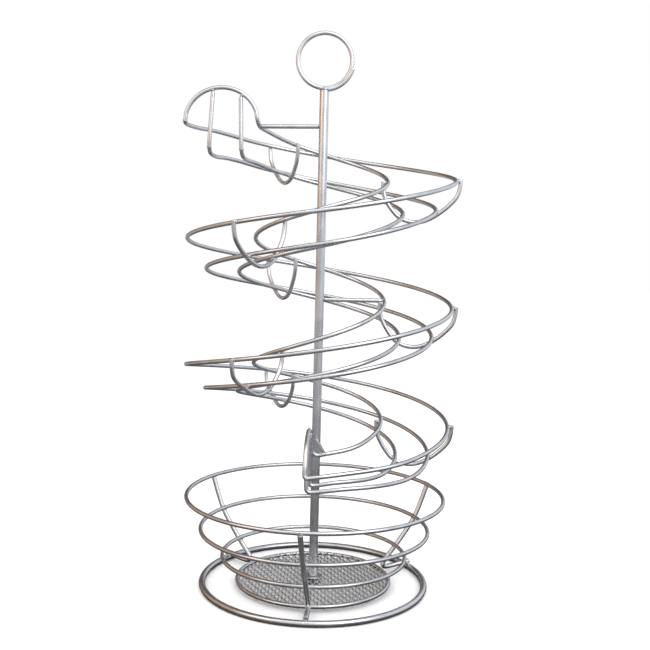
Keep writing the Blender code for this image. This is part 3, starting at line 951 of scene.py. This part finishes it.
def camera():
    """At the height and tilt of the product view, from the front."""
    data = bpy.data.cameras.new("camera")
    data.lens = CAMERA_LENS
    data.sensor_width = SENSOR
    data.clip_start = 10 * MM
    forward = Vector((
        math.sin(CAMERA_YAW) * math.cos(CAMERA_PITCH),
        math.cos(CAMERA_YAW) * math.cos(CAMERA_PITCH),
        math.sin(CAMERA_PITCH),
    ))
    level = Vector((math.cos(CAMERA_YAW), -math.sin(CAMERA_YAW), 0.0))
    above = level.cross(forward)
    right = level * math.cos(CAMERA_ROLL) + above * math.sin(CAMERA_ROLL)
    up = above * math.cos(CAMERA_ROLL) - level * math.sin(CAMERA_ROLL)
    placed = Matrix((right, up, -forward)).transposed().to_4x4()
    thing = bpy.data.objects.new("camera", data)
    thing.matrix_world = Matrix.Translation(CAMERA_PLACE) @ placed
    bpy.context.scene.collection.objects.link(thing)
    bpy.context.scene.camera = thing


def softbox(name, place, size, power, colour):
    """A rectangular light that faces the middle of the rack."""
    data = bpy.data.lights.new(name, "AREA")
    data.shape = "RECTANGLE"
    data.size, data.size_y = size
    data.energy = power
    data.color = colour
    target = Vector((0.0, 0.0, CAD_BOX[1].z / 2))
    thing = bpy.data.objects.new(name, data)
    thing.location = place
    thing.rotation_mode = "QUATERNION"
    thing.rotation_quaternion = (target - Vector(place)).to_track_quat("-Z", "Y")
    bpy.context.scene.collection.objects.link(thing)


def mirrored_room(nodes):
    """What the metal reflects: a room that darkens towards the ground, with a far wall and two sides."""
    parts = nodes.add("ShaderNodeSeparateXYZ")
    nodes.link(nodes.add("ShaderNodeTexCoord").outputs["Generated"], parts.inputs["Vector"])
    x, y, z = (parts.outputs[name] for name in "XYZ")
    ramp = nodes.add("ShaderNodeValToRGB")
    nodes.link(nodes.spread(z, -1.0, 1.0), ramp.inputs["Fac"])
    stops = ramp.color_ramp.elements
    while len(stops) < len(ROOM_TONES):
        stops.new(0.5)
    for stop, (place, tone) in zip(stops, ROOM_TONES):
        stop.position = place
        stop.color = (*tinted(ROOM_TINT, tone), 1.0)
    far_wall = nodes.mix(nodes.spread(x, *FAR_WALL_EDGES), *FAR_WALL)
    room = nodes.mix(nodes.spread(y, *FAR_WALL_START), ramp.outputs["Color"], far_wall)
    level = nodes.spread(nodes.math("ABSOLUTE", z, 0.0), *SIDE_LEVEL)
    beside = nodes.math("MULTIPLY", level, nodes.spread(y, *SIDE_BEHIND))
    for side, colour in SIDE_WALLS:
        sideways = nodes.spread(x, *(side * edge for edge in SIDE_EDGES))
        room = nodes.mix(nodes.math("MULTIPLY", sideways, beside), room, colour)
    return room


def studio_world():
    """White behind the object, an even glow for matt surfaces, and a room in the reflections."""
    world = bpy.data.worlds.new("studio")
    world.use_nodes = True
    bpy.context.scene.world = world
    nodes = Nodes(world.node_tree)
    background = world.node_tree.nodes["Background"]
    path = nodes.add("ShaderNodeLightPath")
    lit = nodes.mix(path.outputs["Is Diffuse Ray"], mirrored_room(nodes), WORLD_GLOW)
    nodes.link(nodes.mix(path.outputs["Is Camera Ray"], lit, WHITE), background.inputs["Color"])
    background.inputs["Strength"].default_value = 1.0
    bpy.context.scene.view_settings.view_transform = "Standard"


def studio_floor():
    mesh = bpy.data.meshes.new("studio_floor")
    sheet = bmesh.new()
    bmesh.ops.create_grid(sheet, x_segments=2, y_segments=2, size=PAPER_HALF)
    sheet.to_mesh(mesh)
    sheet.free()
    mesh.materials.append(floor_material())
    floor = bpy.data.objects.new("studio_floor", mesh)
    bpy.context.scene.collection.objects.link(floor)


def studio():
    camera()
    studio_world()
    for name, place, size, power, colour in SOFTBOXES:
        softbox(name, place, size, power, colour)
    studio_floor()


# ---------------------------------------------------------------- assembly

def all_wires():
    names = [node for nodes in frame["record"]["behaviour"]["bodies"].values() for node in nodes]
    wires = [
        closed_ring("base_ring", UP, rests=True),
        closed_ring("mesh_rim", UP),
        closed_ring("handle_ring", FRONT),
        post_wire(),
    ]
    wires += [closed_ring(name, UP) for name in names if name.startswith("basket_ring")]
    bent = ("basket_rib", "rail", "hoop", "arm")
    wires += [open_wire(name) for name in names if name.startswith(bent)]
    return wires


def named(wires, name):
    return next(wire for wire in wires if wire.name == name)


def seam_azimuth(wires):
    foot = named(wires, "basket_rib_front").points[-1]
    return math.degrees(math.atan2(foot[1], foot[0])) + SEAM_TURN


def body_wires(wires, body, seam, metals, bead):
    """A body's wires, and the beads where they are welded."""
    own = [wire for wire in wires if wire.body == body]
    welds = []
    for index, wire in enumerate(own):
        for other in own[index + 1:]:
            welds += welds_between(wire, other)
    spots = [weld.middle for weld in welds]
    for wire in own:
        if wire.name == "centre_post":
            bored_post(wire, spots, metals)
        else:
            show_wire(wire, spots, metals, seam if wire.name == "base_ring" else None)
    weld_piece(body, welds, extra_beads(own) if body == "tower" else [], (bead,))


def main():
    silver = plated("satin_silver", SILVER, SILVER_ROUGHNESS)
    zinc = plated("zinc_plate", ZINC, ZINC_ROUGHNESS, drawn=False, cloud=ZINC_CLOUD)
    bead = weld_metal()
    sheared = sheared_metal()
    wires = all_wires()
    seam = seam_azimuth(wires)
    for body in ("basket", "tower"):
        body_wires(wires, body, seam, (silver, sheared), bead)
    handle_lap(named(wires, "handle_ring"), (silver, sheared))
    mesh_floor(named(wires, "mesh_rim"), (expanded_metal(),))
    washer("washer_upper", (zinc,))
    washer("washer_lower", (zinc,))
    screw((zinc,))
    studio()


main()
